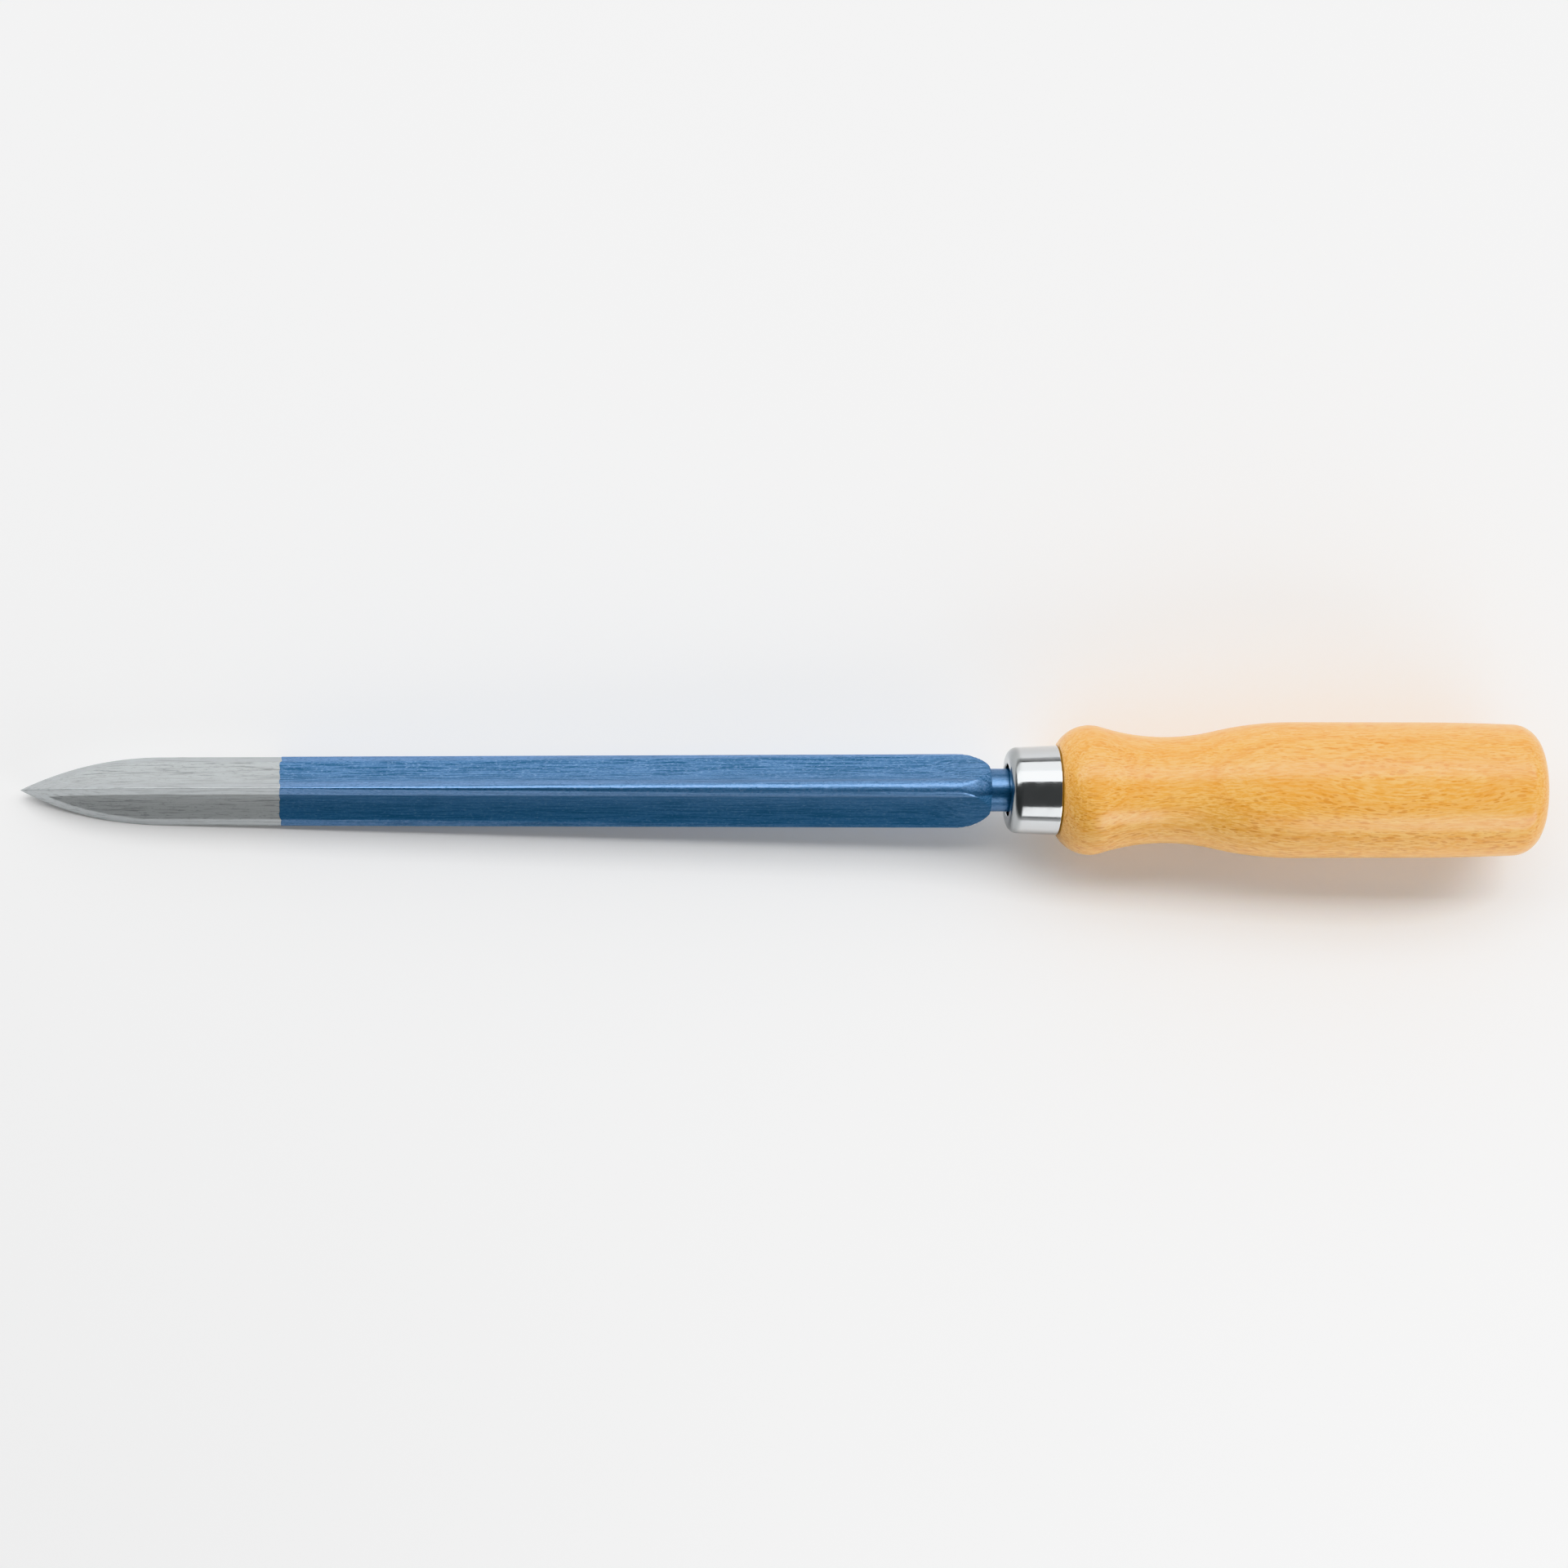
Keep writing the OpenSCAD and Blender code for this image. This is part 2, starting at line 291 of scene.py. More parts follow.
class Nodes:
    """A node tree, and the steps that its patterns are made of."""

    def __init__(self, tree: bpy.types.NodeTree) -> None:
        """Works on that tree."""
        self.tree = tree

    def link(self, source: Value, target: Socket) -> None:
        """Joins a socket to another, or sets a plain number, vector or opaque colour on it.

        Args:
            source: The socket, number, vector or colour.
            target: The socket that takes it.
        """
        if isinstance(source, Socket):
            self.tree.links.new(source, target)
        else:
            target.default_value = (*source, 1.0) if target.type == "RGBA" else source

    def node(self, kind: str, inputs: Inputs, **choices: str) -> bpy.types.Node:
        """Adds a node.

        Args:
            kind: Type of the node.
            inputs: What its inputs take, by name or number; None leaves one as it is.
            choices: Its own settings by name.

        Returns:
            The node.
        """
        made = self.tree.nodes.new(kind)
        for name, choice in choices.items():
            setattr(made, name, choice)
        for name, value in inputs.items():
            if value is not None:
                self.link(value, made.inputs[name])
        return made

    def split(self, vector: Socket) -> tuple[Socket, Socket, Socket]:
        """The three parts of a vector."""
        node = self.node("ShaderNodeSeparateXYZ", {"Vector": vector})
        return node.outputs["X"], node.outputs["Y"], node.outputs["Z"]

    def join(self, *parts: Socket) -> Socket:
        """A vector of three parts."""
        return self.node("ShaderNodeCombineXYZ", dict(enumerate(parts))).outputs["Vector"]

    def math(self, operation: str, *values: Union[Socket, float]) -> Socket:
        """One step of arithmetic on sockets and numbers."""
        return self.node("ShaderNodeMath", dict(enumerate(values)), operation=operation).outputs["Value"]

    def stretched(self, vector: Socket, along: float, across: float) -> Socket:
        """A vector with its first part multiplied by one number and its other two by another."""
        inputs = {0: vector, 1: (along, across, across)}
        return self.node("ShaderNodeVectorMath", inputs, operation="MULTIPLY").outputs["Vector"]

    def noise(self, vector: Socket, layers: float = 2.0, fineness: float = 0.5) -> Socket:
        """Noise from 0 to 1, at one cell per unit of the vector, with finer layers of that strength."""
        inputs = {"Vector": vector, "Scale": 1.0, "Detail": layers, "Roughness": fineness}
        return self.node("ShaderNodeTexNoise", inputs).outputs["Fac"]

    def cells(self, vector: Socket) -> Socket:
        """Distance to the nearest of scattered points, about one to each unit of the vector."""
        return self.node("ShaderNodeTexVoronoi", {"Vector": vector, "Scale": 1.0}).outputs["Distance"]

    def ramp(self, value: Socket, source: Span, target: Span = WHOLE) -> Socket:
        """Carries a value from one span to another, smoothly, and holds it at their ends."""
        inputs = dict(zip(("Value", "From Min", "From Max", "To Min", "To Max"), (value, *source, *target)))
        return self.node("ShaderNodeMapRange", inputs, interpolation_type="SMOOTHSTEP").outputs["Result"]

    def blend(self, factor: Socket, under: Union[Socket, Colour], over: Union[Socket, Colour]) -> Socket:
        """One colour laid over another, at the factor's share."""
        inputs = {"Factor": factor, "A": under, "B": over}
        return self.node("ShaderNodeMix", inputs, data_type="RGBA").outputs["Result"]

    def attribute(self, name: PointShare) -> Socket:
        """A share that the piece's own mesh carries at each point."""
        return self.node("ShaderNodeAttribute", {}, attribute_name=name.value).outputs["Fac"]

    def bump(self, height: Socket, depth: float, under: Optional[Socket] = None) -> Socket:
        """Normal of bumps, over others if given; a height of 1 stands for that depth in millimetres."""
        inputs = {"Strength": 1.0, "Distance": depth * MM, "Height": height, "Normal": under}
        return self.node("ShaderNodeBump", inputs).outputs["Normal"]


class Finish(Nodes):
    """A material of nodes on one glossy shader, with patterns in the tool's frame in millimetres."""

    def __init__(self, name: str, place: ToolFrame) -> None:
        """Starts the material with its shader and the tool's coordinates.

        Args:
            name: Name of the material.
            place: The tool's frame, into which the coordinates are turned.
        """
        self.material = bpy.data.materials.new(name)
        self.material.use_nodes = True
        super().__init__(self.material.node_tree)
        self.shader = self.tree.nodes["Principled BSDF"]
        self.tool = self.tool_coordinates(place)

    def tool_coordinates(self, place: ToolFrame) -> Socket:
        """Object coordinates, moved to the tip, turned along the axis and scaled to millimetres.

        Args:
            place: The tool's frame.

        Returns:
            The coordinates.
        """
        back = place.matrix.inverted()
        inputs = {
            "Vector": self.node("ShaderNodeTexCoord", {}).outputs["Object"],
            "Location": back.to_translation() * MM_PER_M,
            "Rotation": back.to_euler(),
            "Scale": (MM_PER_M,) * 3,
        }
        return self.node("ShaderNodeMapping", inputs).outputs["Vector"]

    def feed(self, **values: Value) -> None:
        """Joins or sets values on the shader's own sockets; underscores in a name stand for spaces."""
        for name, value in values.items():
            self.link(value, self.shader.inputs[name.replace("_", " ")])

    def wear(self, colour: Socket, roughness: Socket, normal: Socket) -> bpy.types.Material:
        """Joins the patterns to the shader, whose clear coat takes the same bumps; gives the material."""
        self.feed(Base_Color=colour, Roughness=roughness, Normal=normal, Coat_Normal=normal)
        return self.material


@dataclass(frozen=True)
class Grain:
    """Marks drawn out along the blade: noise that shows where it is low.

    Attributes:
        length: Length of its cells along the blade.
        width: Width of its cells across it.
        layers: How many finer layers the noise has.
        fade: Noise at which a mark starts to show, and at which it is full.
        strength: How strongly full marks show where the blade is smooth, and where it is matt.
        depth: Depth of the noise as a bump.
        fineness: How strong the finer layers are.
    """

    length: float
    width: float
    layers: float
    fade: Span
    strength: Span
    depth: float
    fineness: float = 0.7

    def noise(self, look: Finish) -> Socket:
        """The noise, from 0 to 1."""
        cell = look.stretched(look.tool, 1.0 / self.length, 1.0 / self.width)
        return look.noise(cell, self.layers, self.fineness)

    def marks(self, look: Finish, noise: Socket, hollow: Socket) -> Socket:
        """Share of the marks' own colour, for that noise and that matt share."""
        strength = look.ramp(hollow, WHOLE, self.strength)
        return look.math("MULTIPLY", look.ramp(noise, self.fade), strength)


@dataclass(frozen=True)
class GroundSteel:
    """Bare steel of the point: ground lands, and flutes left as drawn, rough and streaked lengthwise.

    A span gives a value on the lands, then in the flutes.
    """

    land: Colour = (0.515, 0.54, 0.55)
    flute: Colour = (0.405, 0.425, 0.43)
    mark: Colour = (0.13, 0.14, 0.14)
    metal: Span = (1.0, 0.3)
    roughness: Span = (0.38, 0.70)
    streaks: Grain = Grain(9.0, 0.42, 4.0, (0.49, 0.36), (0.35, 0.6), 0.02)
    pits: Grain = Grain(1.3, 0.4, 3.0, (0.46, 0.28), (0.2, 0.5), 0.012)

    def material(self, place: ToolFrame) -> bpy.types.Material:
        """Builds the steel; its streaks are noise drawn out along the blade, and its pits are finer noise.

        Args:
            place: The tool's frame.

        Returns:
            The material.
        """
        look = Finish("ground_steel", place)
        hollow = look.attribute(PointShare.HOLLOW)
        look.feed(Metallic=look.ramp(hollow, WHOLE, self.metal))
        fine, grit = self.streaks.noise(look), self.pits.noise(look)
        lines, pits = self.streaks.marks(look, fine, hollow), self.pits.marks(look, grit, hollow)
        bare = look.blend(hollow, self.land, self.flute)
        colour = look.blend(look.math("MAXIMUM", lines, pits), bare, self.mark)
        normal = look.bump(fine, self.streaks.depth, look.bump(grit, self.pits.depth))
        return look.wear(colour, look.ramp(hollow, WHOLE, self.roughness), normal)


@dataclass(frozen=True)
class BlueLacquer:
    """Thin blue lacquer that lets the steel shine through: pale on smooth lands, deep in rough flutes.

    A span gives a value on the lands, then in the flutes, if its name doesn't say otherwise.
    """

    land: Colour = (0.150, 0.295, 0.530)
    flute: Colour = (0.100, 0.200, 0.355)
    deep: Colour = (0.030, 0.090, 0.175)
    # colour of painted glints
    glint: Colour = (0.240, 0.370, 0.580)
    edge_tint: Colour = (0.30, 0.50, 0.80)
    gloss: float = 0.3
    metal: Span = (0.85, 0.08)
    roughness: Span = (0.34, 0.60)
    coat: Span = (0.8, 0.03)
    coat_roughness: float = 0.25
    streaks: Grain = Grain(10.0, 0.45, 4.0, (0.55, 0.40), (0.35, 0.9), 0.03)
    streak_relief: Span = (0.25, 1.0)
    grains: Grain = Grain(0.8, 0.36, 3.0, (0.50, 0.28), (0.75, 0.75), 0.02)
    glint_fade: Span = (0.52, 0.72)
    glint_range: Span = (0.0, 0.6)
    ripple_len: float = 7.2
    ripple_w: float = 2.4
    ripple_depth: float = 0.05
    shade_strength: float = 0.5

    def material(self, place: ToolFrame) -> bpy.types.Material:
        """Builds the lacquer with painted glints and painted shade; long streaks and short grains show
        through it, and shallow ripples lie on it.

        Args:
            place: The tool's frame.

        Returns:
            The material.
        """
        look = Finish("blue_lacquer", place)
        look.feed(Specular_Tint=self.edge_tint, Specular_IOR_Level=self.gloss)
        look.feed(Coat_Roughness=self.coat_roughness)
        hollow = look.attribute(PointShare.HOLLOW)
        look.feed(Metallic=look.ramp(hollow, WHOLE, self.metal))
        look.feed(Coat_Weight=look.ramp(hollow, WHOLE, self.coat))
        fine, grain = self.streaks.noise(look), self.grains.noise(look)
        ripple = look.noise(look.stretched(look.tool, 1.0 / self.ripple_len, 1.0 / self.ripple_w))
        lines, dots = self.streaks.marks(look, fine, hollow), self.grains.marks(look, grain, hollow)
        tint = look.blend(hollow, self.land, self.flute)
        colour = look.blend(look.math("MAXIMUM", lines, dots), tint, self.deep)
        # pale painted glints on the grains, standing in for specks that catch the light
        colour = look.blend(look.ramp(grain, self.glint_fade, self.glint_range), colour, self.glint)
        # painted shade: the shade share darkens the colour toward the deep blue
        shade_share = look.math("MULTIPLY", look.attribute(PointShare.PAINTED_SHADE), self.shade_strength)
        colour = look.blend(shade_share, colour, self.deep)
        relief = look.math("MULTIPLY", fine, look.ramp(hollow, WHOLE, self.streak_relief))
        normal = look.bump(grain, self.grains.depth, look.bump(ripple, self.ripple_depth))
        normal = look.bump(relief, self.streaks.depth, normal)
        return look.wear(colour, look.ramp(hollow, WHOLE, self.roughness), normal)


@dataclass(frozen=True)
class BrightPlate:
    """Bright plating over drawn steel, duller on its drawn front, with faint marks round the axis.

    The roughness is of the bright part, then of the dull. Marks and clouds are counted to a millimetre.
    """

    front_x: float
    colour: Colour = (0.58, 0.595, 0.605)
    dull: Colour = (0.40, 0.415, 0.42)
    dull_to: float = 2.6
    dull_from: float = 1.3
    roughness: Span = (0.12, 0.2)
    marks_along: float = 9.0
    marks_round: float = 0.15
    mark_layers: float = 3.0
    mark_fineness: float = 0.6
    mark_depth: float = 0.0015
    clouds_per_mm: float = 0.5
    cloud_fade: Span = (0.3, 0.7)
    cloud_rough: Span = (-0.02, 0.03)

    def material(self, place: ToolFrame) -> bpy.types.Material:
        """Builds the plating; the marks are noise that runs round the tool, and the drawn front is duller.

        Args:
            place: The tool's frame.

        Returns:
            The material.
        """
        look = Finish("bright_plate", place)
        look.feed(Metallic=1.0)
        along, _, _ = look.split(look.tool)
        dull = look.ramp(along, (self.front_x + self.dull_to, self.front_x + self.dull_from))
        colour = look.blend(dull, self.colour, self.dull)
        cell = look.stretched(look.tool, self.marks_along, self.marks_round)
        marks = look.noise(cell, self.mark_layers, self.mark_fineness)
        cloud = look.noise(look.stretched(look.tool, self.clouds_per_mm, self.clouds_per_mm))
        plain = look.ramp(dull, WHOLE, self.roughness)
        rough = look.math("ADD", look.ramp(cloud, self.cloud_fade, self.cloud_rough), plain)
        return look.wear(colour, rough, look.bump(marks, self.mark_depth))


@dataclass(frozen=True)
class Flecks:
    """Dark flecks in scattered cells along the grain, crowded here and there.

    Attributes:
        length: Length of a cell along the grain.
        width: Width of a cell across it.
        fade: Distance from a cell's point at which its fleck starts to show, and at which it is full.
        crowding: Noise at which the flecks are faintest, and strongest.
        strength: How strongly full flecks show there.
    """

    length: float
    width: float
    fade: Span
    crowding: Span
    strength: Span

    def marks(self, look: Finish, bent: Socket, crowd: Socket) -> Socket:
        """Share of the flecks' own colour.

        Args:
            look: The finish that the pattern belongs to.
            bent: Coordinates that follow the grain.
            crowd: Noise that they crowd by.

        Returns:
            The share, from 0 to 1.
        """
        away = look.cells(look.stretched(bent, 1.0 / self.length, 1.0 / self.width))
        strength = look.ramp(crowd, self.crowding, self.strength)
        return look.math("MULTIPLY", look.ramp(away, self.fade), strength)


@dataclass(frozen=True)
class LacqueredBeech:
    """Turned beech under clear satin lacquer: fibres, growth rings, ray flecks and faint turning marks.

    A span named per_mm gives a pattern's cells to a millimetre along the grain, then across it.
    Other spans give the values between which a pattern fades, or what it then adds.
    """

    pale: Colour = (0.85, 0.53, 0.188)
    gold: Colour = (0.75, 0.365, 0.078)
    ring_tone: Colour = (0.70, 0.29, 0.050)
    fleck: Colour = (0.58, 0.22, 0.040)
    pith_depth: float = 55.0
    ring_w: float = 2.3
    ring_darkens: Span = (0.35, 0.97)
    ring_ends: Span = (1.0, 0.96)
    ring_strength: float = 0.3
    sway_per_mm: Span = (0.022, 0.06)
    sway_mm: float = 11.0
    sway_up_share: float = 1.0 / 3.0
    fibre_len: float = 3.2
    fibre_w: float = 0.36
    fibre_layers: float = 3.0
    fibre_fineness: float = 0.65
    fibre_fade: Span = (0.38, 0.62)
    fibre_tone: Span = (0.0, 0.8)
    fibre_depth: float = 0.035
    cloud_per_mm: Span = (0.04, 0.24)
    cloud_layers: float = 3.0
    cloud_fade: Span = (0.3, 0.7)
    cloud_tone: Span = (0.0, 0.2)
    crowd_per_mm: Span = (0.06, 0.25)
    dashes: Flecks = Flecks(2.2, 0.5, (0.36, 0.24), (0.36, 0.60), (0.25, 0.6))
    strokes: Flecks = Flecks(4.5, 1.0, (0.30, 0.20), (0.40, 0.62), (0.15, 0.65))
    turning_mm: float = 1.5
    turning_round_per_mm: float = 0.05
    turning_layers: float = 1.0
    turning_depth: float = 0.012
    rough_fade: Span = (0.2, 0.8)
    roughness: Span = (0.41, 0.52)
    gloss: float = 0.1
    coat: float = 0.6
    coat_roughness: float = 0.15

    def material(self, place: ToolFrame) -> bpy.types.Material:
        """Builds the wood as a solid pattern: rings about a far pith, fibres and flecks along the axis.

        Args:
            place: The tool's frame.

        Returns:
            The material.
        """
        look = Finish("lacquered_beech", place)
        look.feed(Specular_IOR_Level=self.gloss, Coat_Weight=self.coat, Coat_Roughness=self.coat_roughness)
        bent = self.grain_coordinates(look)
        cell = look.stretched(bent, 1.0 / self.fibre_len, 1.0 / self.fibre_w)
        fibre = look.noise(cell, self.fibre_layers, self.fibre_fineness)
        cloud = look.noise(look.stretched(bent, *self.cloud_per_mm), self.cloud_layers)
        fibre_tone = look.ramp(fibre, self.fibre_fade, self.fibre_tone)
        tone = look.math("ADD", fibre_tone, look.ramp(cloud, self.cloud_fade, self.cloud_tone))
        colour = look.blend(tone, self.gold, self.pale)
        late = look.math("MULTIPLY", self.late_wood(look, bent), self.ring_strength)
        colour = look.blend(late, colour, self.ring_tone)
        crowd = look.noise(look.stretched(bent, *self.crowd_per_mm))
        flecks = (kind.marks(look, bent, crowd) for kind in (self.dashes, self.strokes))
        colour = look.blend(look.math("MAXIMUM", *flecks), colour, self.fleck)
        rough = look.ramp(fibre, self.rough_fade, self.roughness)
        cell = look.stretched(look.tool, 1.0 / self.turning_mm, self.turning_round_per_mm)
        turning = look.bump(look.noise(cell, self.turning_layers), self.turning_depth)
        return look.wear(colour, rough, look.bump(fibre, self.fibre_depth, turning))

    def grain_coordinates(self, look: Finish) -> Socket:
        """The tool's coordinates, moved sideways and a little upward by slow noise, as the grain sways.

        Args:
            look: The finish that the pattern belongs to.

        Returns:
            Coordinates that follow the grain.
        """
        sway = look.noise(look.stretched(look.tool, *self.sway_per_mm))
        aside = look.math("MULTIPLY", sway, self.sway_mm)
        rise = look.math("MULTIPLY", sway, self.sway_mm * self.sway_up_share)
        along, across, up = look.split(look.tool)
        return look.join(along, look.math("ADD", across, aside), look.math("ADD", up, rise))

    def late_wood(self, look: Finish, bent: Socket) -> Socket:
        """Share of dark late wood: it grows through each ring's width and ends at once at the next ring.

        Args:
            look: The finish that the pattern belongs to.
            bent: Coordinates that follow the grain.

        Returns:
            The share, from 0 to 1.
        """
        _, side, height = look.split(bent)
        depth = look.math("ADD", height, self.pith_depth)
        squares = (look.math("POWER", part, 2.0) for part in (side, depth))
        away = look.math("SQRT", look.math("ADD", *squares))
        cycle = look.math("FRACT", look.math("DIVIDE", away, self.ring_w))
        return look.math("MULTIPLY", look.ramp(cycle, self.ring_darkens), look.ramp(cycle, self.ring_ends))


@dataclass
class Blade:
    """Steel blade: a triangle with hollow faces, from a sharp point to a shoulder, a neck and a tang.

    Edge 0 is the ridge on top, and face 0 follows it. Edges and faces take turns round the axis, and the
    place q across a face grows toward the edge that follows it.
    """

    # Sizes of the solid
    length: float = 200.0
    point_len: float = 28.5
    ground_len: float = 53.0
    face_w_front: float = 13.95
    face_w_rear: float = 15.45
    edge_r_front: float = 0.12
    edge_r_rear: float = 2.0
    land_w_front: float = 2.3
    land_w_rear: float = 0.3
    flute_r: float = 11.5
    flute_runout: float = 10.0
    flute_end: float = 4.0
    shoulder_r: float = 12.0
    shoulder_step: float = 0.65
    neck_d: float = 9.0
    neck_gap: float = 3.8
    neck_in: float = 6.0
    tang_root: float = 6.2
    tang_tip: float = 3.2
    tang_len: float = 52.0
    point_edge: float = 0.1
    # Softened rims of the flutes, and how narrow a flute is drawn before it starts
    unstarted: float = 0.12
    rim_front: float = 0.03
    rim_rear: float = 0.10
    rim_w: float = 0.35
    rim_share: float = 0.45
    # Lacquer: its thickness, its ragged front line as waves of a count, a height and a phase, and painted
    # shade
    coat: float = 0.06
    coat_nose: float = 0.12
    paint_ragged: float = 0.16
    paint_forward: float = 0.22
    ragged_reach: float = 1.2
    ragged_waves: tuple[Wave, ...] = ((7.0, 1.0, 0.4), (17.0, 0.6, 2.0), (31.0, 0.5, 4.4))
    shaded_face: int = 0
    shade_start: float = 0.3
    shade_full: float = 150.0
    beyond_shade_from: float = 105.0
    land_matt: float = 0.4
    ridge_matt: float = 0.35
    neck_matt: float = 0.1
    neck_shade: float = 1.0
    # Places of close rings, and numbers of points and rings
    tip_start: float = 0.04
    tip_len: float = 1.0
    line_near: float = 2.0
    shoulder_near: float = 0.6
    neck_corner: float = 0.05
    neck_near: float = 0.2
    arc_steps: int = 8
    land_steps: int = 3
    rim_steps: int = 4
    flute_steps: int = 16
    tang_rings: int = 12

    @property
    def handle_x(self) -> float:
        """Where the ferrule and the handle start."""
        return self.length + self.neck_gap

    @property
    def neck_end(self) -> float:
        """Where the neck ends in the handle, and the tang starts."""
        return self.handle_x + self.neck_in

    @property
    def point_r(self) -> float:
        """Radius of the arc along the point: length squared plus half width squared, over the width."""
        half = self.face_w_front / 2.0
        return (self.point_len**2 + half**2) / (2.0 * half)

    @property
    def sweep(self) -> Array:
        """Angles along a rounded edge, from the face before it to the face after it."""
        return np.linspace(-SIXTH_TURN, SIXTH_TURN, self.arc_steps + 1)

    def half_width(self, x: Array) -> Array:
        """Half a face's width: an arc along the point, tangent to a straight taper up to the shoulder.

        Args:
            x: Places along the axis.

        Returns:
            The half width at each.
        """
        before = np.maximum(self.point_len - x, 0.0)
        curved = self.face_w_front / 2.0 - self.point_r + np.sqrt(self.point_r**2 - before**2)
        straight = mix(self.face_w_front, self.face_w_rear, share(x, self.point_len, self.length)) / 2.0
        return np.where(x < self.point_len, curved, straight)

    def edge_slope(self, x: Array) -> Array:
        """Slope of a ground edge against the axis."""
        before = np.maximum(self.point_len - x, 0.0)
        return before / np.sqrt(self.point_r**2 - before**2)

    def edge_r(self, x: Array) -> Array:
        """Radius of an edge: sharp on the ground length, then opening evenly to the shoulder.

        Args:
            x: Places along the axis.

        Returns:
            The radius at each.
        """
        sharp = np.minimum(self.edge_r_front, self.point_edge * self.half_width(x))
        opened = mix(self.edge_r_front, self.edge_r_rear, share(x, self.ground_len, self.length))
        return np.where(x < self.ground_len, sharp, opened)

    def inradius(self, x: Array) -> Array:
        """Distance from the axis to a face: the side before rounding over twice the root of three."""
        return (self.half_width(x) + (ROOT_3 - 1.0) * self.edge_r(x)) / ROOT_3

    def flat_half(self, x: Array) -> Array:
        """Half the flat of a face, between its two rounded edges."""
        return ROOT_3 * (self.inradius(x) - self.edge_r(x))

    def chord_half(self, x: Array) -> Array:
        """Half the flute's width: the flat less the land beside each edge."""
        land = mix(self.land_w_front, self.land_w_rear, share(x, self.ground_len, self.length))
        return np.maximum(self.flat_half(x) - land * np.sqrt(1.0 + self.edge_slope(x) ** 2), 0.0)

    def flute_depth(self, x: Array, q: Array) -> Array:
        """Depth of the hollow: a circle's rise over its chord, with a softened rim.

        Args:
            x: Places of the sections, as a column.
            q: Places across a face, as sections by points.

        Returns:
            The depth, as sections by points.
        """
        chord = self.chord_half(x)
        rise = np.sqrt(self.flute_r**2 - q**2) - np.sqrt(self.flute_r**2 - chord**2)
        rim = mix(self.rim_front, self.rim_rear, share(x, self.ground_len, self.ground_len + self.rim_w))
        soft = (rise + np.sqrt(rise**2 + rim**2)) / 2.0
        end = self.length - self.flute_end
        fade = eased(share(x, end, end - self.flute_runout)) * eased(share(chord, 0.0, 2.0 * self.rim_w))
        return fade * soft

    def shoulder_limit(self, x: Array) -> Array:
        """Radius that the section is held inside: an arc from the full edge down to just over the neck.

        Args:
            x: Places along the axis.

        Returns:
            The radius at each, out of reach before the arc starts.
        """
        end = np.array(self.length)
        top = float(2.0 * self.inradius(end) - self.edge_r(end))
        drop = top - self.neck_d / 2.0 - self.shoulder_step
        run = math.sqrt(self.shoulder_r**2 - (self.shoulder_r - drop) ** 2)
        past = np.maximum(x - (self.length - run), 0.0)
        held = top - self.shoulder_r + np.sqrt(self.shoulder_r**2 - past**2)
        return np.where(past > 0.0, held, 2.0 * top)

    def across(self, x: Array) -> tuple[Array, Array]:
        """Places across a face: land, rim, flute, rim and land, each evenly divided.

        Args:
            x: Places of the sections, as a column.

        Returns:
            The places, and how far each lies in the flute, from 0 to 1, both as sections by points.
        """
        flat = self.flat_half(x)
        chord = np.maximum(self.chord_half(x), self.unstarted * flat)
        rim = np.minimum(self.rim_w, self.rim_share * np.minimum(chord, flat - chord))
        steps = (self.land_steps, self.rim_steps, self.flute_steps, self.rim_steps, self.land_steps)
        knots = (-flat, -chord - rim, -chord + rim, chord - rim, chord + rim, flat)
        runs = [
            mix(a, b, np.linspace(0.0, 1.0, n + 1)[1:])
            for a, b, n in zip(knots, knots[1:], steps)
        ]
        q = np.concatenate(runs, axis=1)[:, :-1]
        in_flute = eased(np.clip((chord + rim - np.abs(q)) / (2.0 * rim), 0.0, 1.0))
        return q, in_flute * eased(share(self.chord_half(x), 0.0, self.rim_w))

    def section(self, x: Array) -> Array:
        """Sections of the blade: three rounded edges joined by hollow faces, held inside the shoulder.

        Args:
            x: Places along the axis, one for each section.

        Returns:
            Points as sections by points by two.
        """
        col = x[:, None]
        inner, edge = self.inradius(col), self.edge_r(col)
        q, _ = self.across(col)
        away = inner - self.flute_depth(col, q)
        centre = 2.0 * (inner - edge)
        sides = []
        for side in range(SIDES):
            top = QUARTER_TURN + side * THIRD_TURN
            face = top + SIXTH_TURN
            arc_y = centre * math.cos(top) + edge * np.cos(top + self.sweep)
            arc_z = centre * math.sin(top) + edge * np.sin(top + self.sweep)
            face_y = away * math.cos(face) - q * math.sin(face)
            face_z = away * math.sin(face) + q * math.cos(face)
            sides.append(np.stack([np.hstack([arc_y, face_y]), np.hstack([arc_z, face_z])], axis=-1))
        ring = np.concatenate(sides, axis=1)
        far = np.linalg.norm(ring, axis=2, keepdims=True)
        return ring * np.minimum(1.0, self.shoulder_limit(col)[..., None] / far)

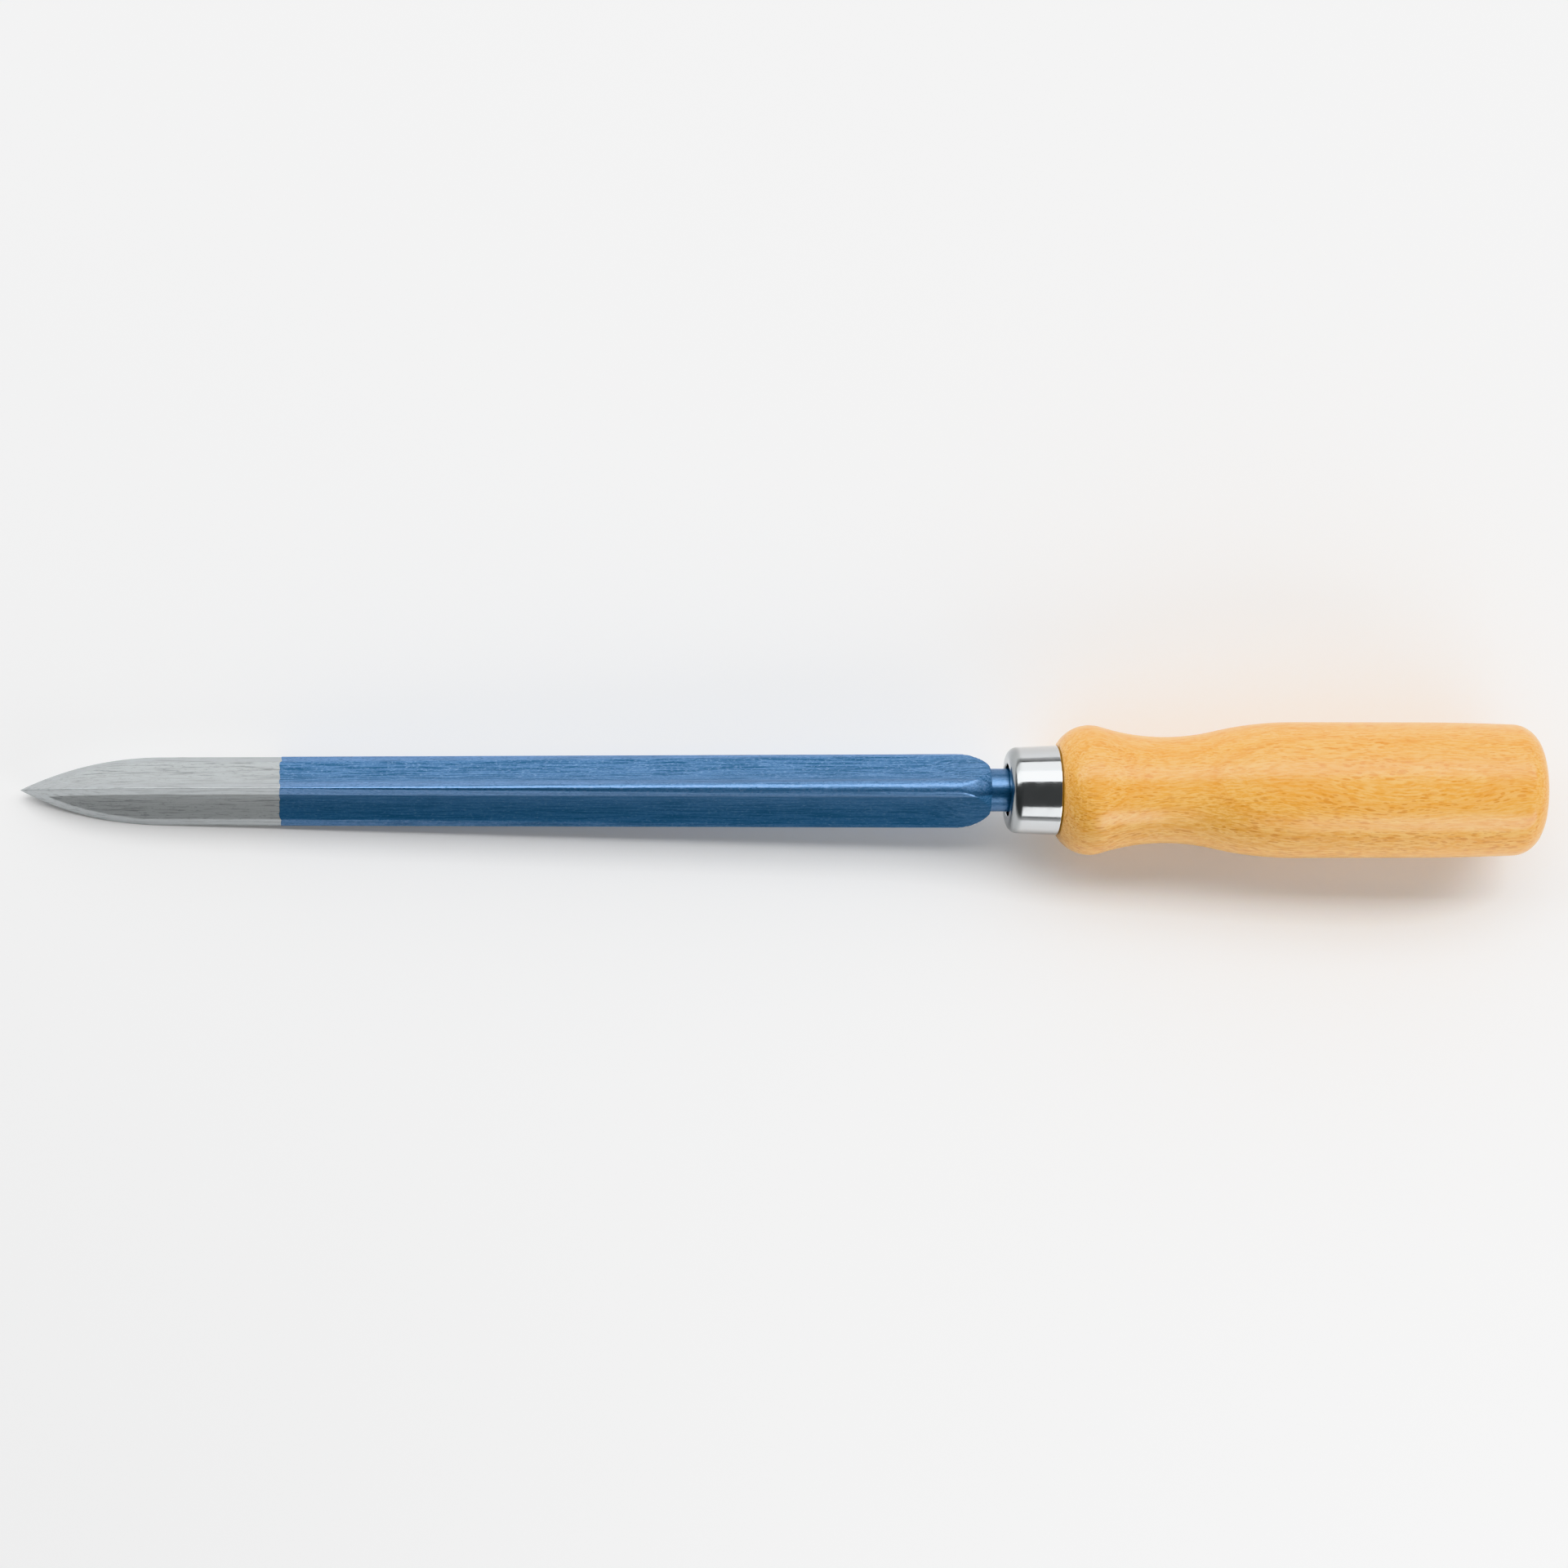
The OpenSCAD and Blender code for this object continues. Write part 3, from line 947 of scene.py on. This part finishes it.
    def matt_and_shade_shares(self, x: Array) -> tuple[Array, Array]:
        """How matt the blade is, and how much painted shade lies on it.

        The flutes are matt. On the face away from the main light, down from the ridge and over its low
        edge, the blade is painted darker and made matt, more so toward the shoulder, where painted shade
        also lies on the land beyond the ridge.

        Args:
            x: Places along the axis, one for each section.

        Returns:
            The matt share and the painted shade share, both as sections by points.
        """
        col = x[:, None]
        q, in_flute = self.across(col)
        toward_face = eased(share(self.sweep, 0.0, SIXTH_TURN))
        shade_ramp = mix(self.shade_start, 1.0, share(col, self.ground_len, self.shade_full))
        shade_ramp = np.where(col < self.ground_len, 0.0, shade_ramp)
        beyond_shade_ramp = eased(share(col, self.beyond_shade_from, self.shade_full))
        over, below, beyond = self.shaded_face, self.shaded_face + 1, self.shaded_face + 2
        arc = len(toward_face)
        matt = np.zeros((len(x), SIDES, arc + q.shape[1]))
        matt[:, :, arc:] = in_flute[:, None, :]
        matt[:, over, arc:] = np.maximum(in_flute, shade_ramp * np.where(q > 0.0, 1.0, self.land_matt))
        matt[:, over, :arc] = shade_ramp * self.ridge_matt * (1.0 - toward_face)
        matt[:, below, :arc] = shade_ramp
        # painted shade on the face away from the main light, its low edge and, toward the shoulder, the
        # land beside the ridge
        painted_shade = np.zeros_like(matt)
        painted_shade[:, over, :arc] = shade_ramp * toward_face
        painted_shade[:, over, arc:] = np.maximum(in_flute, shade_ramp)
        painted_shade[:, below, :arc] = shade_ramp
        painted_shade[:, beyond, arc:] = (1.0 - in_flute) * (q > 0.0) * beyond_shade_ramp
        return matt.reshape(len(x), -1), painted_shade.reshape(len(x), -1)

    def stations(self) -> Array:
        """Places of the sections: close at the tip, the flutes' start, the paint line and the shoulder.

        Returns:
            The places, from the tip to the shoulder.
        """
        line, nose = self.ground_len, self.coat_nose
        return spread(
            (self.tip_start, 0),
            (self.tip_len, 8),
            (self.point_len, 110),
            (line - self.line_near, 24),
            (line - nose, 10),
            (line, 2),
            (line + nose, 5),
            (line + self.line_near, 10),
            (self.length - self.flute_end - self.flute_runout, 90),
            (self.length - self.shoulder_near, 80),
            (self.length, 12),
        )

    def coated(self, x: Array, ring: Array) -> Array:
        """Moves sections outward by the lacquer, whose nose rises as the root of the way from its front.

        Args:
            x: Places along the axis, one for each section.
            ring: The sections' points, as sections by points by two.

        Returns:
            The moved points.
        """
        along = np.roll(ring, -1, axis=1) - np.roll(ring, 1, axis=1)
        out = np.stack([along[..., 1], -along[..., 0]], axis=-1)
        out = out / np.linalg.norm(out, axis=2, keepdims=True)
        built = self.coat * np.sqrt(share(x, self.ground_len, self.ground_len + self.coat_nose))
        return ring + out * built[:, None, None]

    def ragged_line(self, x: Array, line_matt: Array) -> Array:
        """Shift along the axis near the paint line: waves round the blade, less a share of how matt it is.

        Args:
            x: Places along the axis, one for each section.
            line_matt: Matt share of each point of the section at the line.

        Returns:
            The shift as sections by points, fading away from the line as a bell curve.
        """
        turn = full_turn(len(line_matt))
        wave = sum(height * np.sin(count * turn + phase) for count, height, phase in self.ragged_waves)
        total = sum(height for _, height, _ in self.ragged_waves)
        near = np.exp(-(((x - self.ground_len) / self.ragged_reach) ** 2))[:, None]
        return near * (self.paint_ragged * wave / total - self.paint_forward * line_matt)

    def neck_and_tang(self, angle: Array) -> Array:
        """Rings behind the shoulder: circles of the neck, then squares of the tapering tang.

        Args:
            angle: Angles of the points round the axis, which are those of the last section.

        Returns:
            Points as rings by angles by three.
        """
        start = self.length + self.neck_corner
        neck_x = spread((start, 0), (start + self.neck_near, 2), (self.handle_x, 3), (self.neck_end, 2))
        neck = rings_about(neck_x, np.full((len(neck_x), 1), self.neck_d / 2.0), angle)
        tang_x = np.linspace(self.neck_end, self.neck_end + self.tang_len, self.tang_rings)
        tang = square_rings(tang_x, np.linspace(self.tang_root, self.tang_tip, self.tang_rings), angle)
        return np.concatenate([neck, tang])

    def surface(self) -> tuple[RingSurface, dict[PointShare, Array], int]:
        """The whole blade as rings from the tip to the end of the tang.

        Returns:
            The surface, what each ring point carries for the finishes and the painted shade, and the number
            of the first lacquered ring.
        """
        x = self.stations()
        first = int(np.searchsorted(x, self.ground_len))
        matt, painted_shade = self.matt_and_shade_shares(x)
        ring = self.coated(x, self.section(x))
        shifted = x[:, None] + self.ragged_line(x, matt[first])
        shank = np.concatenate([shifted[..., None], ring], axis=2)
        behind = self.neck_and_tang(np.arctan2(ring[-1, :, 1], ring[-1, :, 0]))
        shares = {
            PointShare.HOLLOW: np.concatenate([matt, np.full(behind.shape[:2], self.neck_matt)]),
            # painted shade covers the neck and the tang all over
            PointShare.PAINTED_SHADE: np.concatenate([painted_shade, np.full(behind.shape[:2], self.neck_shade)]),
        }
        end = (self.neck_end + self.tang_len, 0.0, 0.0)
        return RingSurface(np.concatenate([shank, behind]), last_pole=end), shares, first

    def build(self, place: ToolFrame) -> bpy.types.Object:
        """Makes the blade's mesh and piece; lacquered faces take the second material, and poles no share.

        Args:
            place: The tool's frame.

        Returns:
            The piece.
        """
        surface, shares, first = self.surface()
        mesh = surface.mesh("blade_mesh", place)
        for name, values in shares.items():
            carried = np.append(values.ravel(), [0.0, 0.0]).astype(np.float32)
            mesh.attributes.new(name.value, "FLOAT", "POINT").data.foreach_set("value", carried)
        rows, cols, _ = surface.points.shape
        coated = np.zeros(len(mesh.polygons), dtype=np.int32)
        coated[first * cols : (rows - 1) * cols] = 1
        mesh.polygons.foreach_set("material_index", coated)
        return add_piece("scraper_blade", mesh, "blade", Slot.BLADE)

    def dress(self, piece: bpy.types.Object, place: ToolFrame) -> None:
        """Gives the point its bare steel and the shank its lacquer."""
        piece.data.materials.append(GroundSteel().material(place))
        piece.data.materials.append(BlueLacquer().material(place))


@dataclass
class Ferrule:
    """Drawn cap on the front of the handle: slightly conical, with a rounded front and the neck's hole."""

    start: float
    hole_d: float = 11.0
    length: float = 10.7
    d_front: float = 18.1
    d_rear: float = 18.85
    wall: float = 0.9
    round: float = 2.2
    lip: float = 0.5
    hole_round: float = 0.4
    segments: int = 192
    face_steps: int = 5
    round_steps: int = 14
    cone_steps: int = 24
    lip_steps: int = 10
    inside_steps: int = 8
    floor_steps: int = 3
    hole_steps: int = 8

    @property
    def inner_cut(self) -> float:
        """Size of the cut corner inside, behind the rounded front."""
        return self.round / 2.0

    def inner_r(self, x: float) -> float:
        """Radius of the inside at x from the front."""
        return mix(self.d_front, self.d_rear, share(x, self.round, self.length)) / 2.0 - self.wall

    def profile(self) -> Array:
        """Closed profile: front face, rounded front, cone, rounded rear edge, then back along the inside.

        Returns:
            Rows of (x, radius).
        """
        front, rear = self.d_front / 2.0, self.d_rear / 2.0
        hole, soft = self.hole_d / 2.0, self.hole_round
        nose, wall, cut = self.round, self.wall, self.inner_cut
        lip_x = self.length - self.lip
        parts = [
            line_profile(0.0, hole + soft, 0.0, front - nose, self.face_steps)[:-1],
            arc_profile(nose, front - nose, nose, math.pi, QUARTER_TURN, self.round_steps),
            line_profile(nose, front, lip_x, rear, self.cone_steps)[1:-1],
            arc_profile(lip_x, rear - self.lip, self.lip, QUARTER_TURN, 0.0, self.lip_steps),
            line_profile(self.length, rear - wall, wall + cut, front - wall, self.inside_steps),
            line_profile(wall, front - wall - cut, wall, hole, self.floor_steps),
            arc_profile(soft, hole + soft, soft, -QUARTER_TURN, -math.pi, self.hole_steps)[:-1],
        ]
        return np.concatenate(parts) + [self.start, 0.0]

    def build(self, place: ToolFrame) -> bpy.types.Object:
        """Makes the ferrule's mesh and piece.

        Args:
            place: The tool's frame.

        Returns:
            The piece.
        """
        surface = RingSurface(turned_rings(self.profile(), self.segments), closed=True)
        mesh = surface.mesh("ferrule_mesh", place)
        mesh.set_sharp_from_angle(angle=SHARP_ANGLE)
        return add_piece("scraper_ferrule", mesh, "ferrule", Slot.FERRULE)

    def dress(self, piece: bpy.types.Object, place: ToolFrame) -> None:
        """Plates the ferrule."""
        piece.data.materials.append(BrightPlate(self.start).material(place))


@dataclass
class Handle:
    """Turned handle: tenon, bead, waist, barrel and rounded butt, bored for the neck and the tang."""

    blade: Blade
    ferrule: Ferrule
    bore_d: float = 9.24
    bead_step: float = 0.37
    bead_d: float = 27.2
    bead_r: float = 7.8
    waist_gap: float = 16.0
    waist_d: float = 22.3
    barrel_gap: float = 27.3
    barrel_d: float = 28.6
    barrel_len: float = 25.7
    butt_len: float = 27.2
    butt_taper: float = 1.3
    butt_round: float = 6.0
    butt_pole_r: float = 0.6
    tenon_gap: float = 2.5
    tenon_clear: float = 0.05
    tang_clear: float = 0.08
    socket_spare: float = 3.0
    segments: int = 224
    socket_rings: int = 8
    bore_steps: int = 3
    tenon_steps: int = 4
    foot_steps: int = 2
    arc_steps: int = 28
    barrel_steps: int = 16
    round_steps: int = 24
    butt_steps: int = 10

    @property
    def start(self) -> float:
        """Where the handle with its ferrule starts along the tool."""
        return self.blade.handle_x

    @property
    def bead_c(self) -> float:
        """Radius at which the bead's arc has its centre."""
        return self.bead_d / 2.0 - self.bead_r

    @property
    def bead_foot(self) -> float:
        """Radius of the wood where it meets the ferrule."""
        return self.ferrule.d_rear / 2.0 + self.bead_step

    @property
    def bead_x(self) -> float:
        """Place of the top of the bead."""
        return self.ferrule.length + math.sqrt(self.bead_r**2 - (self.bead_foot - self.bead_c) ** 2)

    @property
    def tenon_r(self) -> float:
        """Radius of the tenon where it leaves the ferrule."""
        return self.ferrule.d_rear / 2.0 - self.ferrule.wall - self.tenon_clear

    @property
    def length(self) -> float:
        """Length from the ferrule's front to the butt."""
        return self.bead_x + self.waist_gap + self.barrel_gap + self.barrel_len + self.butt_len

    def outer_profile(self) -> Array:
        """Profile from the tenon to the butt: arcs of bead, waist, barrel, taper and butt run together.

        Returns:
            Rows of (x, radius), with x from the ferrule's front.
        """
        bead_c, bead_x = self.bead_c, self.bead_x
        waist_x = bead_x + self.waist_gap
        rise = self.waist_d / 2.0 - bead_c
        waist_r = (self.waist_gap**2 + rise**2 - self.bead_r**2) / (self.bead_d - self.waist_d)
        waist_c = self.waist_d / 2.0 + waist_r
        barrel_x = waist_x + self.barrel_gap
        barrel_top = self.barrel_d / 2.0
        fall = waist_c - barrel_top
        barrel_r = (self.barrel_gap**2 + fall**2 - waist_r**2) / (self.barrel_d - self.waist_d)
        barrel_c = barrel_top - barrel_r
        taper_x = barrel_x + self.barrel_len
        taper_r = (self.butt_len**2 + (self.butt_taper / 2.0) ** 2) / self.butt_taper
        taper_c = barrel_top - taper_r
        butt_x = self.length - self.butt_round
        butt_c = taper_c + math.sqrt((taper_r - self.butt_round) ** 2 - (butt_x - taper_x) ** 2)
        bead_from = math.atan2(self.bead_foot - bead_c, self.ferrule.length - bead_x)
        bead_to = math.atan2(waist_c - bead_c, self.waist_gap)
        waist_to = math.atan2(barrel_c - waist_c, self.barrel_gap)
        taper_to = math.atan2(butt_c - taper_c, butt_x - taper_x)
        foot_x, steps = self.ferrule.length, self.arc_steps
        return np.concatenate([
            line_profile(foot_x, self.tenon_r, foot_x, self.bead_foot, self.foot_steps)[:-1],
            arc_profile(bead_x, bead_c, self.bead_r, bead_from, bead_to, steps),
            arc_profile(waist_x, waist_c, waist_r, bead_to - math.pi, waist_to, steps)[1:],
            arc_profile(barrel_x, barrel_c, barrel_r, waist_to + math.pi, QUARTER_TURN, steps)[1:],
            line_profile(barrel_x, barrel_top, taper_x, barrel_top, self.barrel_steps)[1:-1],
            arc_profile(taper_x, taper_c, taper_r, QUARTER_TURN, taper_to, self.barrel_steps),
            arc_profile(butt_x, butt_c, self.butt_round, taper_to, 0.0, self.round_steps)[1:],
            line_profile(self.length, butt_c, self.length, self.butt_pole_r, self.butt_steps)[1:],
        ])

    def tenon_profile(self) -> Array:
        """Profile of the bore and the tenon: out along the bore, over the cut corner and back to the bead.

        Returns:
            Rows of (x, radius), with x from the ferrule's front.
        """
        bore, cut = self.bore_d / 2.0, self.ferrule.inner_cut
        front = self.ferrule.wall + self.tenon_gap
        back = front + cut
        front_r = self.ferrule.inner_r(back) - self.tenon_clear
        return np.concatenate([
            line_profile(self.blade.neck_end - self.start, bore, front, bore, self.bore_steps),
            line_profile(front, front_r - cut, back, front_r, 1),
            line_profile(back, front_r, self.ferrule.length, self.tenon_r, self.tenon_steps)[1:-1],
        ])

    def rings(self) -> tuple[Array, float]:
        """Rings from the socket's floor out to the tenon, then along the outside to the butt.

        Returns:
            The rings' points, and the place of the socket's floor.
        """
        tang = self.blade
        floor = tang.neck_end + tang.tang_len + self.socket_spare
        x = np.linspace(floor, tang.neck_end, self.socket_rings)
        along = (x - tang.neck_end) / tang.tang_len
        side = mix(tang.tang_root, tang.tang_tip, along) + 2.0 * self.tang_clear
        socket = square_rings(x, side, full_turn(self.segments))
        turned = np.concatenate([self.tenon_profile(), self.outer_profile()]) + [self.start, 0.0]
        return np.concatenate([socket, turned_rings(turned, self.segments)]), floor

    def build(self, place: ToolFrame) -> bpy.types.Object:
        """Makes the handle's mesh and piece.

        Args:
            place: The tool's frame.

        Returns:
            The piece.
        """
        points, floor = self.rings()
        surface = RingSurface(points, False, (floor, 0.0, 0.0), (self.start + self.length, 0.0, 0.0))
        mesh = surface.mesh("handle_mesh", place)
        mesh.set_sharp_from_angle(angle=SHARP_ANGLE)
        return add_piece("scraper_handle", mesh, "handle", Slot.HANDLE)

    def dress(self, piece: bpy.types.Object, place: ToolFrame) -> None:
        """Gives the handle its lacquered wood."""
        piece.data.materials.append(LacqueredBeech().material(place))


def add_light(name: str, length: float, width: float, radiance: float, pose: Matrix) -> bpy.types.Object:
    """Adds a one-sided rectangular light; its power is pi times its area times its radiance.

    Args:
        name: Name of the light.
        length: Size along its own x, in metres.
        width: Size along its own y, in metres.
        radiance: Brightness of its face.
        pose: Its place; it shines along its own -z.

    Returns:
        The light's object.
    """
    light = bpy.data.lights.new(name, "AREA")
    light.shape = "RECTANGLE"
    light.size = length
    light.size_y = width
    light.energy = math.pi * length * width * radiance
    made = bpy.data.objects.new(name, light)
    made.matrix_world = pose
    bpy.context.scene.collection.objects.link(made)
    return made


@dataclass(frozen=True)
class SoftPanel:
    """A long soft light panel beside the tool, between two angles from overhead.

    Angles are in degrees, and the places of its ends and its distance are in metres.
    """

    name: str
    low_angle: float
    high_angle: float
    start_x: float
    end_x: float
    radiance: float
    distance: float

    def build(self) -> bpy.types.Object:
        """Adds the panel, turned about the tool to the middle of its two angles and facing it.

        Returns:
            The light's object.
        """
        middle = math.radians((self.low_angle + self.high_angle) / 2.0)
        half = math.radians(abs(self.high_angle - self.low_angle) / 2.0)
        width = 2.0 * self.distance * math.tan(half)
        centre = Vector(((self.start_x + self.end_x) / 2.0, 0.0, self.distance))
        pose = Matrix.Rotation(-middle, 4, "X") @ Matrix.Translation(centre)
        return add_light(self.name, self.end_x - self.start_x, width, self.radiance, pose)


@dataclass(frozen=True)
class FloorWash:
    """A wide light that turns its back on the tool and whitens the floor beyond the panels.

    Heading and tilt are in degrees, and its place and its size are in metres.
    """

    name: str
    heading: float
    distance: float
    radiance: float = 3.0
    height: float = 0.9
    tilt: float = 56.0
    length: float = 4.0
    width: float = 0.5

    def build(self) -> bpy.types.Object:
        """Adds the light, at its distance on its heading from +x, tilted outward from straight down.

        Returns:
            The light's object.
        """
        turn = Matrix.Rotation(math.radians(self.heading) - QUARTER_TURN, 4, "Z")
        shift = Matrix.Translation((0.0, self.distance, self.height))
        pose = turn @ shift @ Matrix.Rotation(math.radians(self.tilt), 4, "X")
        return add_light(self.name, self.length, self.width, self.radiance, pose)


@dataclass
class Studio:
    """Plain pale floor, soft light from two sides and a camera nearly overhead.

    The camera's distance and aim are in millimetres in the tool's frame, and the floor is in metres. The
    glow is the room's, at the horizon and overhead, and it fades between the two heights of the haze.
    """

    focal_px: float = 5160.0
    image_px: float = 1920.0
    sensor_mm: float = 36.0
    distance: float = 877.1
    aim_x: float = 157.03
    aim_up: float = 1.27
    lean_deg: float = 5.4
    side_deg: float = 3.0
    floor_half: float = 3.0
    floor_colour: Colour = (0.92, 0.92, 0.92)
    floor_roughness: float = 0.9
    floor_gloss: float = 0.1
    sky_colour: Colour = (1.0, 1.0, 1.0)
    glow: Span = (0.6, 0.13)
    haze: Span = (0.03, 0.25)
    lights: tuple[Union[SoftPanel, FloorWash], ...] = (
        SoftPanel("panel_high", 20.0, 46.0, -2.4, 2.4, 4.4, 1.8),
        SoftPanel("panel_low", 46.0, 75.0, -2.4, 2.4, 1.5, 1.8),
        SoftPanel("panel_near", -47.0, -74.0, 0.058, 0.2, 1.6, 0.5),
        SoftPanel("panel_butt", -47.0, -74.0, 0.2, 0.8, 5.4, 0.5),
        FloorWash("wash_butt", 0.0, 2.0),
        FloorWash("wash_rear", 90.0, 2.0),
        FloorWash("wash_point", 180.0, 2.0),
        FloorWash("wash_front", 270.0, 0.75, 4.0),
    )

    def camera(self, place: ToolFrame) -> bpy.types.Object:
        """Adds the camera: it looks down at the tool's axis, which lies level across the picture.

        Args:
            place: The tool's frame.

        Returns:
            The camera.
        """
        lean, side = math.radians(self.lean_deg), math.radians(self.side_deg)
        back = Vector((-math.sin(lean) * math.cos(side), -math.sin(side), math.cos(lean) * math.cos(side)))
        axis = Vector((1.0, 0.0, 0.0))
        right = (axis - back * axis.dot(back)).normalized()
        up = back.cross(right)
        spot = axis * self.aim_x + up * self.aim_up + back * self.distance
        pose = Matrix((right, up, back)).transposed().to_4x4()
        pose.translation = spot * MM
        data = bpy.data.cameras.new("overhead")
        data.sensor_width = self.sensor_mm
        data.lens = self.sensor_mm * self.focal_px / self.image_px
        made = bpy.data.objects.new("overhead", data)
        made.matrix_world = place.matrix @ pose
        bpy.context.scene.collection.objects.link(made)
        bpy.context.scene.camera = made
        return made

    def floor(self) -> bpy.types.Object:
        """Adds the floor that the tool lies on.

        Returns:
            The floor.
        """
        h = self.floor_half
        mesh = bpy.data.meshes.new("floor_mesh")
        mesh.from_pydata([(-h, -h, 0.0), (h, -h, 0.0), (h, h, 0.0), (-h, h, 0.0)], [], [(0, 1, 2, 3)])
        made = bpy.data.objects.new("floor", mesh)
        paint = bpy.data.materials.new("floor_white")
        paint.use_nodes = True
        shader = paint.node_tree.nodes["Principled BSDF"]
        shader.inputs["Base Color"].default_value = (*self.floor_colour, 1.0)
        shader.inputs["Roughness"].default_value = self.floor_roughness
        shader.inputs["Specular IOR Level"].default_value = self.floor_gloss
        mesh.materials.append(paint)
        bpy.context.scene.collection.objects.link(made)
        return made

    def sky(self) -> None:
        """Sets the room round the tool: pale at the horizon, darker overhead."""
        world = bpy.data.worlds.new("room")
        world.use_nodes = True
        bpy.context.scene.world = world
        nodes = Nodes(world.node_tree)
        _, _, height = nodes.split(nodes.node("ShaderNodeTexCoord", {}).outputs["Generated"])
        shader = world.node_tree.nodes["Background"]
        nodes.link(nodes.ramp(height, self.haze, self.glow), shader.inputs["Strength"])
        nodes.link(self.sky_colour, shader.inputs["Color"])

    def build(self, place: ToolFrame) -> None:
        """Adds the floor, the lights, the room and the camera.

        Args:
            place: The tool's frame.
        """
        self.floor()
        for light in self.lights:
            light.build()
        self.sky()
        self.camera(place)
        view = bpy.context.scene.view_settings
        view.view_transform = "Khronos PBR Neutral"
        view.look = "None"


def main() -> None:
    """Builds the pieces in order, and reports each."""
    logging.basicConfig(level=logging.INFO, format="%(name)s: %(message)s")
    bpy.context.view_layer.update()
    blade = Blade()
    ferrule = Ferrule(start=blade.handle_x)
    handle = Handle(blade, ferrule)
    place = ToolFrame.from_record(frame["record"], blade.handle_x + handle.length)
    for part in (blade, ferrule, handle):
        piece = part.build(place)
        part.dress(piece, place)
        LOG.info("%s: %d faces", piece.name, len(piece.data.polygons))
    Studio().build(place)


if __name__ == "__main__":
    main()
